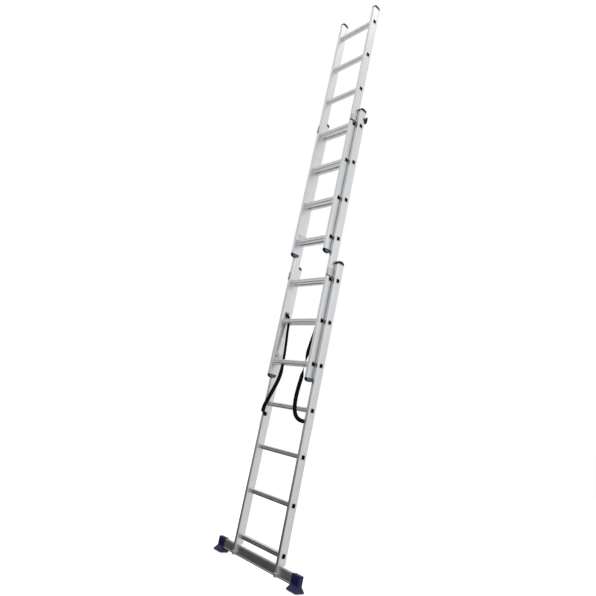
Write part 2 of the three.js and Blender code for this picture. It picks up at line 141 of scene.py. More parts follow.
class Finish:
    """A material with its shader, and short ways to add the nodes that vary it over a surface."""

    def __init__(self, name, colour, metallic, roughness):
        self.material = bpy.data.materials.new(name)
        self.material.use_nodes = True
        self.tree = self.material.node_tree
        self.shader = self.tree.nodes["Principled BSDF"]
        self.shader.inputs["Base Color"].default_value = (*colour, 1.0)
        self.shader.inputs["Metallic"].default_value = metallic
        self.shader.inputs["Roughness"].default_value = roughness
        self.colour = colour
        self.place = self.tree.nodes.new("ShaderNodeTexCoord").outputs["Object"]

    def link(self, output, target):
        self.tree.links.new(output, target)

    def surface_map(self):
        node = self.tree.nodes.new("ShaderNodeUVMap")
        return node.outputs["UV"]

    def noise(self, scale, detail=4.0, roughness=0.55, source=None, distortion=0.0):
        mapping = self.tree.nodes.new("ShaderNodeMapping")
        mapping.inputs["Scale"].default_value = scale
        self.link(source or self.place, mapping.inputs["Vector"])
        noise = self.tree.nodes.new("ShaderNodeTexNoise")
        noise.inputs["Scale"].default_value = 1.0
        noise.inputs["Detail"].default_value = detail
        noise.inputs["Roughness"].default_value = roughness
        noise.inputs["Distortion"].default_value = distortion
        self.link(mapping.outputs["Vector"], noise.inputs["Vector"])
        return noise.outputs["Fac"]

    def between(self, value, low, high, to_low=0.0, to_high=1.0):
        """The value, taken from low..high to to_low..to_high and held there."""
        node = self.tree.nodes.new("ShaderNodeMapRange")
        node.clamp = True
        for name, number in (("From Min", low), ("From Max", high), ("To Min", to_low), ("To Max", to_high)):
            node.inputs[name].default_value = number
        self.link(value, node.inputs["Value"])
        return node.outputs["Result"]

    def math(self, operation, first, second):
        node = self.tree.nodes.new("ShaderNodeMath")
        node.operation = operation
        for value, socket in zip((first, second), node.inputs):
            if isinstance(value, (int, float)):
                socket.default_value = value
            else:
                self.link(value, socket)
        return node.outputs["Value"]

    def axis(self, name, source=None):
        node = self.tree.nodes.new("ShaderNodeSeparateXYZ")
        self.link(source or self.place, node.inputs["Vector"])
        return node.outputs[name]

    def mix(self, share, first, second):
        """A colour between two, each a tuple or another node's colour."""
        node = self.tree.nodes.new("ShaderNodeMix")
        node.data_type = "RGBA"
        for value, socket in ((first, node.inputs[6]), (second, node.inputs[7])):
            if isinstance(value, tuple):
                socket.default_value = (*value, 1.0)
            else:
                self.link(value, socket)
        self.link(share, node.inputs[0])
        return node.outputs[2]

    def shade(self, factor):
        return tuple(min(1.0, c * factor) for c in self.colour)

    def bump(self, height, strength, distance, under=None):
        node = self.tree.nodes.new("ShaderNodeBump")
        node.inputs["Strength"].default_value = strength
        node.inputs["Distance"].default_value = distance
        self.link(height, node.inputs["Height"])
        if under is not None:
            self.link(under, node.inputs["Normal"])
        return node.outputs["Normal"]

    def finish(self, colour=None, roughness=None, normal=None):
        for output, name in ((colour, "Base Color"), (roughness, "Roughness"), (normal, "Normal")):
            if output is not None:
                self.link(output, self.shader.inputs[name])
        return self.material


# Scales of a grain that runs along X and along Z: fine across the run and long with it.
ALONG = {"x": (5.0, 900.0, 900.0), "z": (900.0, 900.0, 5.0)}
BANDS = {"x": (0.4, 260.0, 260.0), "z": (260.0, 260.0, 0.4)}
SCRATCHES = {"x": (30.0, 500.0, 500.0), "z": (420.0, 420.0, 2.4)}


def extruded_aluminium(name, colour, grain, rough, rub=0.3):
    """Mill-finish extrusion: die lines and grain along its run, handling smudges and rub marks."""
    f = Finish(name, colour, 1.0, rough)
    fine = f.noise(ALONG[grain], 6.0, 0.6)
    bands = f.noise(BANDS[grain], 2.0, 0.5)
    smudge = f.noise((7.0, 7.0, 7.0), 5.0, 0.62, distortion=0.4)
    rubs = f.between(f.noise(SCRATCHES[grain], 3.0, 0.5), 0.60, 0.72)
    toned = f.mix(f.between(bands, 0.3, 0.7), f.shade(0.90), f.shade(1.06))
    grained = f.mix(f.between(fine, 0.25, 0.75, 0.0, 0.35), toned, f.shade(0.80))
    cloudy = f.mix(f.between(smudge, 0.45, 0.8, 0.0, 0.35), grained, f.shade(0.82))
    rubbed = f.mix(f.math("MULTIPLY", rubs, rub), cloudy, f.shade(0.55))
    gloss = f.between(f.math("ADD", fine, smudge), 0.7, 1.35, rough - 0.07, rough + 0.10)
    relief = f.bump(fine, 0.16, 0.0002, f.bump(bands, 0.22, 0.0003))
    return f.finish(rubbed, gloss, relief)


def rung_aluminium(name, colour, rough):
    """Rung extrusion, its tread scuffed by shoes towards the middle of the rung."""
    f = Finish(name, colour, 1.0, rough)
    fine = f.noise(ALONG["x"], 6.0, 0.6)
    bands = f.noise(BANDS["x"], 2.0, 0.5)
    middle = f.between(f.math("ABSOLUTE", f.axis("X"), 0.0), 0.05, 0.16, 1.0, 0.0)
    scuffs = f.between(f.noise((60.0, 14.0, 60.0), 5.0, 0.7, distortion=0.6), 0.5, 0.68)
    worn = f.math("MULTIPLY", scuffs, middle)
    toned = f.mix(f.between(bands, 0.3, 0.7), f.shade(0.90), f.shade(1.05))
    grained = f.mix(f.between(fine, 0.25, 0.75, 0.0, 0.4), toned, f.shade(0.78))
    scuffed = f.mix(f.math("MULTIPLY", worn, 0.35), grained, f.shade(0.60))
    gloss = f.between(f.math("ADD", fine, worn), 0.3, 1.4, rough - 0.08, rough + 0.14)
    return f.finish(scuffed, gloss, f.bump(fine, 0.18, 0.0002))


def hollow_painted_shade(name):
    """Painted shade: a dull near-black with a dusty tone for the unlit inside of a tube and the floors of grooves."""
    f = Finish(name, (0.022, 0.022, 0.024), 0.35, 0.85)
    dust = f.noise((120.0, 300.0, 300.0), 4.0)
    return f.finish(f.mix(f.between(dust, 0.4, 0.8), f.shade(0.6), f.shade(1.6)),
                    f.between(dust, 0.3, 0.7, 0.75, 0.92))


def zinc_plate(name, colour, rough=0.34):
    """Zinc plate: a fine spangle, faint cloudy passivation and a few dull spots."""
    f = Finish(name, colour, 1.0, rough)
    cells = f.tree.nodes.new("ShaderNodeTexVoronoi")
    cells.inputs["Scale"].default_value = 420.0
    f.link(f.place, cells.inputs["Vector"])
    spangle = f.between(cells.outputs["Distance"], 0.0, 0.9)
    cloud = f.noise((38.0, 38.0, 38.0), 5.0, 0.6)
    toned = f.mix(f.between(cloud, 0.3, 0.7), f.shade(0.88), f.shade(1.06))
    plated = f.mix(f.math("MULTIPLY", spangle, 0.22), toned, f.shade(0.78))
    gloss = f.between(f.math("ADD", spangle, cloud), 0.4, 1.5, rough - 0.07, rough + 0.13)
    return f.finish(plated, gloss, f.bump(spangle, 0.10, 0.0002))


def moulded_plastic(name, colour, rough, scuff_below=None):
    """Moulded plastic with spark-eroded grain, flow tone and, near the floor, scuffs."""
    f = Finish(name, colour, 0.0, rough)
    f.shader.inputs["Specular IOR Level"].default_value = 0.3
    grain = f.noise((1400.0, 1400.0, 1400.0), 3.0, 0.6)
    flow = f.noise((26.0, 26.0, 40.0), 4.0, 0.55, distortion=0.5)
    dust = f.between(f.noise((170.0, 170.0, 90.0), 6.0, 0.7), 0.55, 0.75)
    toned = f.mix(f.between(flow, 0.3, 0.7), f.shade(0.82), f.shade(1.22))
    dusty = f.mix(f.math("MULTIPLY", dust, 0.10), toned, (0.30, 0.30, 0.33))
    worn = dusty
    if scuff_below is not None:
        low = f.between(f.axis("Z"), 0.0, scuff_below, 1.0, 0.0)
        scuffs = f.between(f.noise((90.0, 300.0, 300.0), 6.0, 0.75), 0.48, 0.62)
        worn = f.mix(f.math("MULTIPLY", f.math("MULTIPLY", low, scuffs), 0.45), dusty, (0.16, 0.16, 0.22))
    gloss = f.between(f.math("ADD", flow, grain), 0.7, 1.3, rough - 0.07, rough + 0.12)
    return f.finish(worn, gloss, f.bump(grain, 0.25, 0.0002))


def coated_steel(name, colour, rough=0.42):
    """Black coated steel with orange-peel gloss and bare metal where it rubs."""
    f = Finish(name, colour, 0.0, rough)
    f.shader.inputs["Specular IOR Level"].default_value = 0.25
    peel = f.noise((520.0, 520.0, 520.0), 2.0, 0.5)
    rubs = f.between(f.noise((160.0, 160.0, 60.0), 6.0, 0.72), 0.64, 0.70)
    toned = f.mix(f.between(peel, 0.3, 0.7), f.shade(0.8), f.shade(1.3))
    worn = f.mix(f.math("MULTIPLY", rubs, 0.25), toned, (0.16, 0.16, 0.17))
    return f.finish(worn, f.between(peel, 0.3, 0.7, rough - 0.08, rough + 0.10), f.bump(peel, 0.3, 0.0002))


def woven_webbing(name, colour):
    """Flat woven webbing: offset yarn rows on the strap's own map, a felted fuzz and a soft sheen."""
    f = Finish(name, colour, 0.0, 0.82)
    f.shader.inputs["Specular IOR Level"].default_value = 0.12
    f.shader.inputs["Sheen Weight"].default_value = 0.02
    f.shader.inputs["Sheen Roughness"].default_value = 0.45
    flat = f.surface_map()
    yarn = f.tree.nodes.new("ShaderNodeTexBrick")
    yarn.offset = 0.5
    yarn.inputs["Scale"].default_value = 1000.0
    yarn.inputs["Brick Width"].default_value = 2.6
    yarn.inputs["Row Height"].default_value = 1.3
    yarn.inputs["Mortar Size"].default_value = 0.22
    yarn.inputs["Mortar Smooth"].default_value = 1.0
    yarn.inputs["Color1"].default_value = (1.0, 1.0, 1.0, 1.0)
    yarn.inputs["Color2"].default_value = (0.75, 0.75, 0.75, 1.0)
    yarn.inputs["Mortar"].default_value = (0.0, 0.0, 0.0, 1.0)
    f.link(flat, yarn.inputs["Vector"])
    fuzz = f.noise((900.0, 900.0, 900.0), 5.0, 0.7)
    rows = f.axis("X", yarn.outputs["Color"])
    toned = f.mix(rows, f.shade(0.45), f.shade(1.7))
    fuzzy = f.mix(f.between(fuzz, 0.5, 0.8, 0.0, 0.35), toned, (0.010, 0.010, 0.011))
    return f.finish(fuzzy, f.between(fuzz, 0.3, 0.7, 0.74, 0.9), f.bump(rows, 0.55, 0.0005))


def label_film(name, colour):
    """Plain white film with a slightly wrinkled gloss."""
    f = Finish(name, colour, 0.0, 0.35)
    wrinkle = f.noise((60.0, 60.0, 24.0), 3.0)
    return f.finish(f.mix(f.between(wrinkle, 0.3, 0.7), f.shade(0.94), f.shade(1.03)),
                    f.between(wrinkle, 0.3, 0.7, 0.28, 0.42), f.bump(wrinkle, 0.12, 0.0005))


def pale_floor(name):
    f = Finish(name, (0.93, 0.93, 0.93), 0.0, 0.75)
    f.shader.inputs["Emission Color"].default_value = (1.0, 1.0, 1.0, 1.0)
    f.shader.inputs["Emission Strength"].default_value = 0.5
    drift = f.noise((0.6, 0.6, 0.6), 3.0)
    return f.finish(f.mix(drift, (0.92, 0.92, 0.92), (0.94, 0.94, 0.94)))


FINISHES = {}


def finish_of(name):
    """The named finish, made the first time it is asked for."""
    if name not in FINISHES:
        c = bpy.context.scene.ladder_colours
        makers = {
            "stile_aluminium": lambda: extruded_aluminium("stile_aluminium", c.stile[:], "z", 0.36),
            "rung_aluminium": lambda: rung_aluminium("rung_aluminium", c.rung[:], 0.38),
            "bar_aluminium": lambda: extruded_aluminium("bar_aluminium", c.bar[:], "x", 0.35, 0.4),
            # Near-black painted shade for the insides of tubes and the floors of grooves.
            "hollow_painted_shade": lambda: hollow_painted_shade("hollow_painted_shade"),
            "zinc_steel": lambda: zinc_plate("zinc_steel", c.zinc[:]),
            "blue_plastic": lambda: moulded_plastic("blue_plastic", c.feet[:], 0.40, 0.03),
            "dark_plastic": lambda: moulded_plastic("dark_plastic", c.caps[:], 0.42),
            "slate_plastic": lambda: moulded_plastic("slate_plastic", c.panels[:], 0.45),
            "black_plastic": lambda: coated_steel("black_plastic", c.coated[:]),
            "black_webbing": lambda: woven_webbing("black_webbing", c.webbing[:]),
            "blank_label": lambda: label_film("blank_label", c.label[:]),
            "pale_floor": lambda: pale_floor("pale_floor"),
        }
        FINISHES[name] = makers[name]()
    return FINISHES[name]


# ---- mesh helpers -----------------------------------------------------------------------------------


def sizes():
    return bpy.context.scene.ladder_sizes


def piece_from(name, bm, finish, body=None, stands_for=(), sharp=32.0, extra=()):
    """Closes a bmesh into a named piece with its finish, its body and the nodes it stands for."""
    bmesh.ops.remove_doubles(bm, verts=bm.verts, dist=1e-6)
    bmesh.ops.recalc_face_normals(bm, faces=bm.faces)
    for face in bm.faces:
        face.smooth = True
    mesh = bpy.data.meshes.new(name)
    bm.to_mesh(mesh)
    bm.free()
    mesh.set_sharp_from_angle(angle=math.radians(sharp))
    piece = bpy.data.objects.new(name, mesh)
    for material in (finish, *extra):
        mesh.materials.append(finish_of(material))
    bpy.context.scene.collection.objects.link(piece)
    if body:
        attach(piece, body)
    if stands_for:
        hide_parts(*stands_for)
    return piece


def merge(target, part):
    """Adds one bmesh's closed shape to another and frees it."""
    mesh = bpy.data.meshes.new("part")
    part.to_mesh(mesh)
    part.free()
    target.from_mesh(mesh)
    bpy.data.meshes.remove(mesh)


def outline_face(points):
    """A bmesh with one face through the points."""
    bm = bmesh.new()
    bm.faces.new([bm.verts.new(p) for p in points])
    return bm


def extruded(points, along):
    """The outline's face, extruded along a vector into a closed solid."""
    bm = outline_face(points)
    made = bmesh.ops.extrude_face_region(bm, geom=bm.faces[:], use_keep_orig=True)
    moved = [v for v in made["geom"] if isinstance(v, bmesh.types.BMVert)]
    bmesh.ops.translate(bm, verts=moved, vec=along)
    bmesh.ops.recalc_face_normals(bm, faces=bm.faces)
    return bm


def drop_inner_faces(bm):
    """Removes the faces that an extrusion or a spin leaves inside a closed shape."""
    bmesh.ops.remove_doubles(bm, verts=bm.verts, dist=1e-6)
    inside = [f for f in bm.faces if all(len(e.link_faces) > 2 for e in f.edges)]
    bmesh.ops.delete(bm, geom=inside, context="FACES_ONLY")
    bmesh.ops.recalc_face_normals(bm, faces=bm.faces)


def round_edges(bm, width, segments=3, sharper_than=28.0, keep=None):
    """Bevels every edge that turns more than an angle, apart from those that keep() names."""
    limit = math.radians(sharper_than)
    edges = [e for e in bm.edges if len(e.link_faces) == 2 and e.calc_face_angle(0.0) > limit
             and not (keep and keep(e))]
    bmesh.ops.bevel(bm, geom=edges, offset=width, offset_type="OFFSET", affect="EDGES", segments=segments,
                    profile=0.5, material=-1, clamp_overlap=True)
    return bm


def block(low, high, width=0.0, segments=3):
    """A box between two corners with rounded edges."""
    bm = bmesh.new()
    low, high = Vector(low), Vector(high)
    place = Matrix.Translation((low + high) / 2) @ Matrix.Diagonal((*(high - low), 1.0))
    bmesh.ops.create_cube(bm, size=1.0, matrix=place)
    if width:
        round_edges(bm, width, segments)
    return bm


def turned(profile, centre, axis, steps=24):
    """A closed turned shape: profile points (along the axis, radius), spun round it."""
    bm = bmesh.new()
    verts = [bm.verts.new((r, 0.0, a)) for a, r in profile]
    edges = [bm.edges.new(pair) for pair in zip(verts, verts[1:])]
    bmesh.ops.spin(bm, geom=verts + edges, cent=(0, 0, 0), axis=(0, 0, 1), angle=math.tau, steps=steps,
                   use_merge=True, use_duplicate=False)
    bmesh.ops.remove_doubles(bm, verts=bm.verts, dist=1e-6)
    turn = Vector(axis).to_track_quat("Z", "Y").to_matrix().to_4x4()
    bmesh.ops.transform(bm, matrix=Matrix.Translation(centre) @ turn, verts=bm.verts)
    bmesh.ops.recalc_face_normals(bm, faces=bm.faces)
    return bm


def dome_rivet(centre, axis, radius, height):
    """A low domed rivet head that stands on a face."""
    rim = 0.25 * height
    profile = [(-0.0008, 0.0), (-0.0008, radius), (rim, radius)]
    for i in range(1, 6):
        turn = i * math.pi / 10
        profile.append((rim + (height - rim) * math.sin(turn), radius * math.cos(turn)))
    profile[-1] = (height, 0.0)
    return turned(profile, centre, axis, 20)


def hex_prism(centre, axis, across, height):
    """A hexagon bolt head or nut with softened corners."""
    bm = bmesh.new()
    bmesh.ops.create_cone(bm, cap_ends=True, segments=6, radius1=across / math.sqrt(3),
                          radius2=across / math.sqrt(3), depth=height)
    round_edges(bm, height * 0.12, 2)
    turn = Vector(axis).to_track_quat("Z", "Y").to_matrix().to_4x4()
    bmesh.ops.transform(bm, matrix=Matrix.Translation(centre) @ turn, verts=bm.verts)
    return bm


def washer(centre, axis, radius, thickness):
    return turned([(0.0, 0.0), (0.0, radius), (thickness * 0.7, radius), (thickness, radius - thickness * 0.4),
                   (thickness, 0.0)], centre, axis, 24)


def arc(centre, radius, start, end, steps):
    """Points of an arc in the plane of an outline, in degrees."""
    turns = [math.radians(start + (end - start) * i / steps) for i in range(steps + 1)]
    return [(centre[0] + radius * math.cos(t), centre[1] + radius * math.sin(t)) for t in turns]


def side_plate(outline, x0, x1):
    """An outline in Y and Z, extruded along X from x0 to x1."""
    return extruded([(min(x0, x1), y, z) for y, z in outline], (abs(x1 - x0), 0.0, 0.0))


def open_tube(outer, inner, stages):
    """A tube along X with an outer and an inner outline. A stage is (x, growth of the outer outline)."""
    bm = bmesh.new()

    def ring_run(outline, spots):
        first = None
        verts = [bm.verts.new((spots[0][0], y * (1 + spots[0][1]), z * (1 + spots[0][1]))) for y, z in outline]
        edges = [bm.edges.new((a, b)) for a, b in zip(verts, verts[1:] + verts[:1])]
        first = edges
        for before, (x, grow) in zip(spots, spots[1:]):
            made = bmesh.ops.extrude_edge_only(bm, edges=edges)["geom"]
            edges = [g for g in made if isinstance(g, bmesh.types.BMEdge)]
            moved = [g for g in made if isinstance(g, bmesh.types.BMVert)]
            scale = (1 + grow) / (1 + before[1])
            bmesh.ops.scale(bm, verts=moved, vec=(1.0, scale, scale))
            bmesh.ops.translate(bm, verts=moved, vec=(x - before[0], 0.0, 0.0))
        return first, edges

    outer_start, outer_end = ring_run(outer, stages)
    walls = set(bm.faces)
    inner_start, inner_end = ring_run(inner, [(stages[0][0], 0.0), (stages[-1][0], 0.0)])
    # The inner walls take the second material: the near-black painted shade inside the tube.
    for face in bm.faces:
        if face not in walls:
            face.material_index = 1
    for pair in ((outer_start, inner_start), (outer_end, inner_end)):
        bmesh.ops.bridge_loops(bm, edges=pair[0] + pair[1])
    return bm


# ---- stiles -----------------------------------------------------------------------------------------


def finish_cad_node(node, finish):
    """Gives a CAD node its finish and shades its rounded corners smoothly."""
    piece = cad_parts[node]
    piece.data.materials.clear()
    piece.data.materials.append(finish_of(finish))
    for face in piece.data.polygons:
        face.use_smooth = True
    weld = piece.modifiers.new("join_triangles", "WELD")
    weld.merge_threshold = 1e-6
    split = piece.modifiers.new("crisp_edges", "EDGE_SPLIT")
    split.split_angle = math.radians(35.0)


# ---- rungs ------------------------------------------------------------------------------------------

# Height of each groove in a rung's front and back, and half its width at the face.
FRONT_GROOVES = ((0.0056, 0.0010), (-0.0078, 0.0012))
GROOVE_DEPTH = 0.0009


def rung_outlines():
    """Outer and inner outline of a rung: ribbed tread on top, two long grooves in its front and back."""
    s = sizes()
    half, corner, ribs, rise = RUNG_HALF, s.rung_corner, s.tread_ribs, s.tread_rib_height
    flat = half - corner
    outer = arc((-flat, -flat), corner, 180, 270, 4) + arc((flat, -flat), corner, 270, 360, 4)
    for z, width in reversed(FRONT_GROOVES):
        outer += [(half, z - width), (half - GROOVE_DEPTH, z - width * 0.8),
                  (half - GROOVE_DEPTH, z + width * 0.8), (half, z + width)]
    outer += arc((flat, flat), corner, 0, 90, 4)
    pitch = 2 * flat / ribs
    for i in range(ribs):
        y = flat - i * pitch
        outer += [(y - pitch * 0.20, half), (y - pitch * 0.32, half + rise), (y - pitch * 0.68, half + rise),
                  (y - pitch * 0.80, half)]
    outer += arc((-flat, flat), corner, 90, 180, 4)
    for z, width in FRONT_GROOVES:
        outer += [(-half, z + width), (-half + GROOVE_DEPTH, z + width * 0.8),
                  (-half + GROOVE_DEPTH, z - width * 0.8), (-half, z - width)]
    hollow, tight = half - s.rung_wall, max(0.0008, corner - s.rung_wall)
    run = hollow - tight
    inner = (arc((-run, -run), tight, 180, 270, 3) + arc((run, -run), tight, 270, 360, 3)
             + arc((run, run), tight, 0, 90, 3) + arc((-run, run), tight, 90, 180, 3))
    return outer, inner


def rung_stages(section):
    """Where a rung swells: a bead against each stile's inner face and a flared lip at its outer end."""
    bead = sizes().rung_bead / RUNG_HALF
    outer, inner = section.outer, section.inner
    half = [(inner - 0.0058, 0.0), (inner - 0.0046, bead * 0.7), (inner - 0.0030, bead),
            (inner - 0.0012, bead * 0.8), (inner - 0.0004, 0.0), (outer + 0.0001, 0.0),
            (outer + 0.0004, bead * 0.9), (outer + 0.0014, bead * 0.9), (outer + 0.0019, bead * 0.4)]
    return [(-x, grow) for x, grow in reversed(half)] + half


def add_rungs(section):
    outer, inner = rung_outlines()
    for number, height in enumerate(section.rungs, 1):
        bm = open_tube(outer, inner, rung_stages(section))
        # The groove floors take the second material as well: near-black painted shade in the grooves.
        for face in bm.faces:
            if abs(abs(face.calc_center_median().y) - RUNG_HALF + GROOVE_DEPTH) < 0.0001:
                face.material_index = 1
        bmesh.ops.translate(bm, verts=bm.verts, vec=(0.0, section.y, height))
        piece_from(f"{section.name}_ribbed_rung_{number}", bm, "rung_aluminium", section.name,
                   (f"{section.name}_rung_{number}",), 24.0, ("hollow_painted_shade",))


# ---- end caps and shoes -----------------------------------------------------------------------------


def arch(section, end, rise, front_inset=0.0, back_inset=0.0, steps=20, flatness=0.82):
    """Points of a rounded arch over a stile's end, from its front to its back. A negative rise hangs down."""
    half = (section.back - section.front - front_inset - back_inset) / 2
    middle = section.y + (front_inset - back_inset) / 2
    turns = [math.pi * i / steps for i in range(steps + 1)]
    return [(middle - half * math.copysign(abs(math.cos(t)) ** flatness, math.cos(t)),
             end + rise * math.sin(t) ** flatness) for t in turns]


def tongue(section, x, half, end, up):
    """The part of a cap or shoe that plugs the stile's tube."""
    z0, z1 = sorted((end - up * 0.016, end + up * 0.002))
    return block((x - half + 0.0026, section.front + 0.003, z0), (x + half - 0.0026, section.back - 0.003, z1),
                 0.001, 2)


def add_cap(section, side):
    """Dark crescent cap, thick at the back, over the stile's rounded web."""
    s = sizes()
    end, x, half = section.top, section.stile_x(side), (section.outer - section.inner) / 2
    web_rise = s.cap_rise * 0.12
    outline = arch(section, end + 0.0003, s.cap_rise)
    under = arch(section, end + 0.0003, web_rise, 0.0016, 0.0040)
    bm = side_plate(outline + under[::-1], x - half, x + half)
    round_edges(bm, s.edge_round * 0.4, 2, 40.0)
    merge(bm, tongue(section, x, half, end, 1.0))
    if section is not TOP:
        merge(bm, block((x - 0.006, section.front - 0.0042, end - 0.005),
                        (x + 0.006, section.front + 0.002, end + 0.004), 0.0014, 3))
    piece_from(f"{section.name}_moulded_cap_{side}", bm, "dark_plastic", section.name,
               (f"{section.name}_cap_{side}",))
    web = side_plate(arch(section, end + 0.0001, web_rise - 0.0003, 0.0018, 0.0042), x - half + 0.0002, x + half - 0.0002)
    round_edges(web, 0.0003, 1, 60.0)
    piece_from(f"{section.name}_stile_web_{side}", web, "stile_aluminium", section.name)


def add_shoe(section, side):
    """Boat-shaped shoe under a stile: a dark rim round a lighter, sunk panel."""
    s = sizes()
    end, x, half = section.bottom, section.stile_x(side), (section.outer - section.inner) / 2
    bm = side_plate(arch(section, end - 0.0003, -s.cap_rise), x - half, x + half)
    flat_sides = [f for f in bm.faces if abs(f.normal.x) > 0.9]
    bmesh.ops.inset_individual(bm, faces=flat_sides, thickness=0.0030, depth=0.0, use_even_offset=True)
    bmesh.ops.inset_individual(bm, faces=flat_sides, thickness=0.0007, depth=-0.0010, use_even_offset=True)
    for face in flat_sides:
        face.material_index = 1
    bmesh.ops.recalc_face_normals(bm, faces=bm.faces)
    round_edges(bm, s.edge_round * 0.4, 2, 40.0)
    merge(bm, tongue(section, x, half, end, -1.0))
    piece_from(f"{section.name}_moulded_shoe_{side}", bm, "dark_plastic", section.name,
               (f"{section.name}_shoe_{side}",), extra=("slate_plastic",))


# ---- stabiliser -------------------------------------------------------------------------------------


def bar_outlines():
    """Outer and inner outline of the bar, in Y and Z: a box tube with long grooves low on its faces."""
    low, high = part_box("stabiliser_bar")
    y0, y1, z0, z1 = low.y, high.y, low.z, high.z
    deep, corner, wall = sizes().bar_groove, 0.003, 0.0018
    outer = arc((y0 + corner, z0 + corner), corner, 180, 270, 4)
    outer += arc((y1 - corner, z0 + corner), corner, 270, 360, 4)
    outer += [(y1, z0 + 0.008), (y1 - deep, z0 + 0.009), (y1 - deep, z0 + 0.011), (y1, z0 + 0.012)]
    outer += arc((y1 - corner, z1 - corner), corner, 0, 90, 4) + arc((y0 + corner, z1 - corner), corner, 90, 180, 4)
    outer += [(y0, z1 - 0.006), (y0 + deep * 0.5, z1 - 0.0066), (y0 + deep * 0.5, z1 - 0.0078),
              (y0, z1 - 0.0084)]
    for z in (z0 + 0.0130, z0 + 0.0060):
        outer += [(y0, z), (y0 + deep, z - 0.0004), (y0 + deep, z - 0.0024), (y0, z - 0.0028)]
        if z > z0 + 0.01:
            outer.append((y0 - 0.0014, z - 0.0058))
    c = 0.0012
    inner = (arc((y0 + wall + c, z0 + wall + c), c, 180, 270, 3) + arc((y1 - wall - c, z0 + wall + c), c, 270, 360, 3)
             + arc((y1 - wall - c, z1 - wall - c), c, 0, 90, 3) + arc((y0 + wall + c, z1 - wall - c), c, 90, 180, 3))
    return outer, inner, low, high


def add_bar():
    outer, inner, low, high = bar_outlines()
    bm = open_tube(outer, inner, [(low.x, 0.0), (high.x, 0.0)])
    # The front groove floors take the second material: near-black painted shade in the grooves.
    for face in bm.faces:
        if abs(face.calc_center_median().y - low.y - sizes().bar_groove) < 0.0001:
            face.material_index = 1
    piece_from("grooved_stabiliser_bar", bm, "bar_aluminium", "base", ("stabiliser_bar",),
               30.0, ("hollow_painted_shade",))


# Rings of a foot from its top down, as the shares of the way from the sleeve to the widest outline and
# heights in metres: sleeve, collar groove, neck, flare, rim and sole.
def foot_rings(side):
    low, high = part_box(f"stabiliser_foot_{side}")
    bar_low, bar_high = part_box("stabiliser_bar")
    sign, wall = SIDES[side], 0.003
    near, far = (0.333, high.x - 0.012) if sign > 0 else (0.333, -low.x - 0.012)
    tight = (near, far, bar_low.y - wall, bar_high.y + wall)
    wide = (min(abs(low.x), abs(high.x)), max(abs(low.x), abs(high.x)), low.y, high.y)
    top, neck, rim = high.z, bar_low.z + 0.006, 0.009

    def ring(z, share, inward=0.0):
        sides = [t + (w - t) * share for t, w in zip(tight, wide)]
        return z, (sides[0] + inward, sides[1] - inward, sides[2] + inward, sides[3] - inward)

    return sign, [ring(top, 0.0, 0.0006), ring(top - 0.004, 0.0), ring(neck + 0.010, 0.0),
                  ring(neck + 0.0085, 0.0, 0.0009), ring(neck + 0.0065, 0.0, 0.0009), ring(neck + 0.005, 0.0),
                  ring(neck, 0.02), ring(rim + 0.001, 0.96), ring(rim - 0.002, 1.0), ring(0.0022, 0.86, 0.003),
                  (0.0, (0.351, 0.389, low.y + 0.010, high.y - 0.010))]


def add_foot(side):
    sign, rings = foot_rings(side)

    def corners(x0, x1, y0, y1, z):
        points = [(sign * x0, y0, z), (sign * x1, y0, z), (sign * x1, y1, z), (sign * x0, y1, z)]
        return points if sign > 0 else points[::-1]

    bm = outline_face(corners(*rings[0][1], rings[0][0]))
    layer = bm.faces[:]
    for z, box in rings[1:]:
        made = bmesh.ops.extrude_face_region(bm, geom=layer, use_keep_orig=len(bm.faces) == 1)["geom"]
        moved = [g for g in made if isinstance(g, bmesh.types.BMVert)]
        layer = [g for g in made if isinstance(g, bmesh.types.BMFace)]
        for vert in moved:
            x, y = vert.co.x * sign, vert.co.y
            near_x = abs(x - min(v.co.x * sign for v in moved)) < 1e-6
            near_y = abs(y - min(v.co.y for v in moved)) < 1e-6
            vert.index = (0 if near_x else 1) + (0 if near_y else 2)
        for vert in moved:
            vert.co = (sign * box[vert.index % 2], box[2 + vert.index // 2], z)
    drop_inner_faces(bm)
    flare = [f for f in bm.faces if abs(f.normal.z) > 0.2 and abs(f.normal.z) < 0.95
             and 0.010 < f.calc_center_median().z < 0.033]
    bmesh.ops.inset_individual(bm, faces=flare, thickness=0.0035, depth=0.0)
    bmesh.ops.inset_individual(bm, faces=flare, thickness=0.0008, depth=0.0008)
    round_edges(bm, sizes().edge_round * 0.45, 3, 14.0)
    piece_from(f"hoof_foot_{side}", bm, "blue_plastic", "base", (f"stabiliser_foot_{side}",),
               28.0)


def add_bar_bolt(side):
    """Flanged hexagon head in front of the stile's lip, nut and washer behind the bar."""
    low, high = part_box(f"stabiliser_bolt_{side}")
    x, z = (low.x + high.x) / 2, (low.z + high.z) / 2
    lip, back = BASE.front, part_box("stabiliser_bar")[1].y
    bm = bmesh.new()
    merge(bm, washer((x, lip - 0.0001, z), (0, -1, 0), 0.0085, 0.0014))
    merge(bm, hex_prism((x, lip - 0.0034, z), (0, 1, 0), 0.011, 0.0044))
    merge(bm, turned([(0.0, 0.0), (0.0, 0.0038), (back - lip + 0.010, 0.0038), (back - lip + 0.011, 0.003),
                      (back - lip + 0.011, 0.0)], (x, lip - 0.001, z), (0, 1, 0), 20))
    merge(bm, washer((x, back, z), (0, 1, 0), 0.0085, 0.0014))
    merge(bm, hex_prism((x, back + 0.0040, z), (0, 1, 0), 0.0125, 0.005))
    piece_from(f"bar_bolt_{side}", bm, "zinc_steel", "base", (f"stabiliser_bolt_{side}",))


# ---- guides -----------------------------------------------------------------------------------------


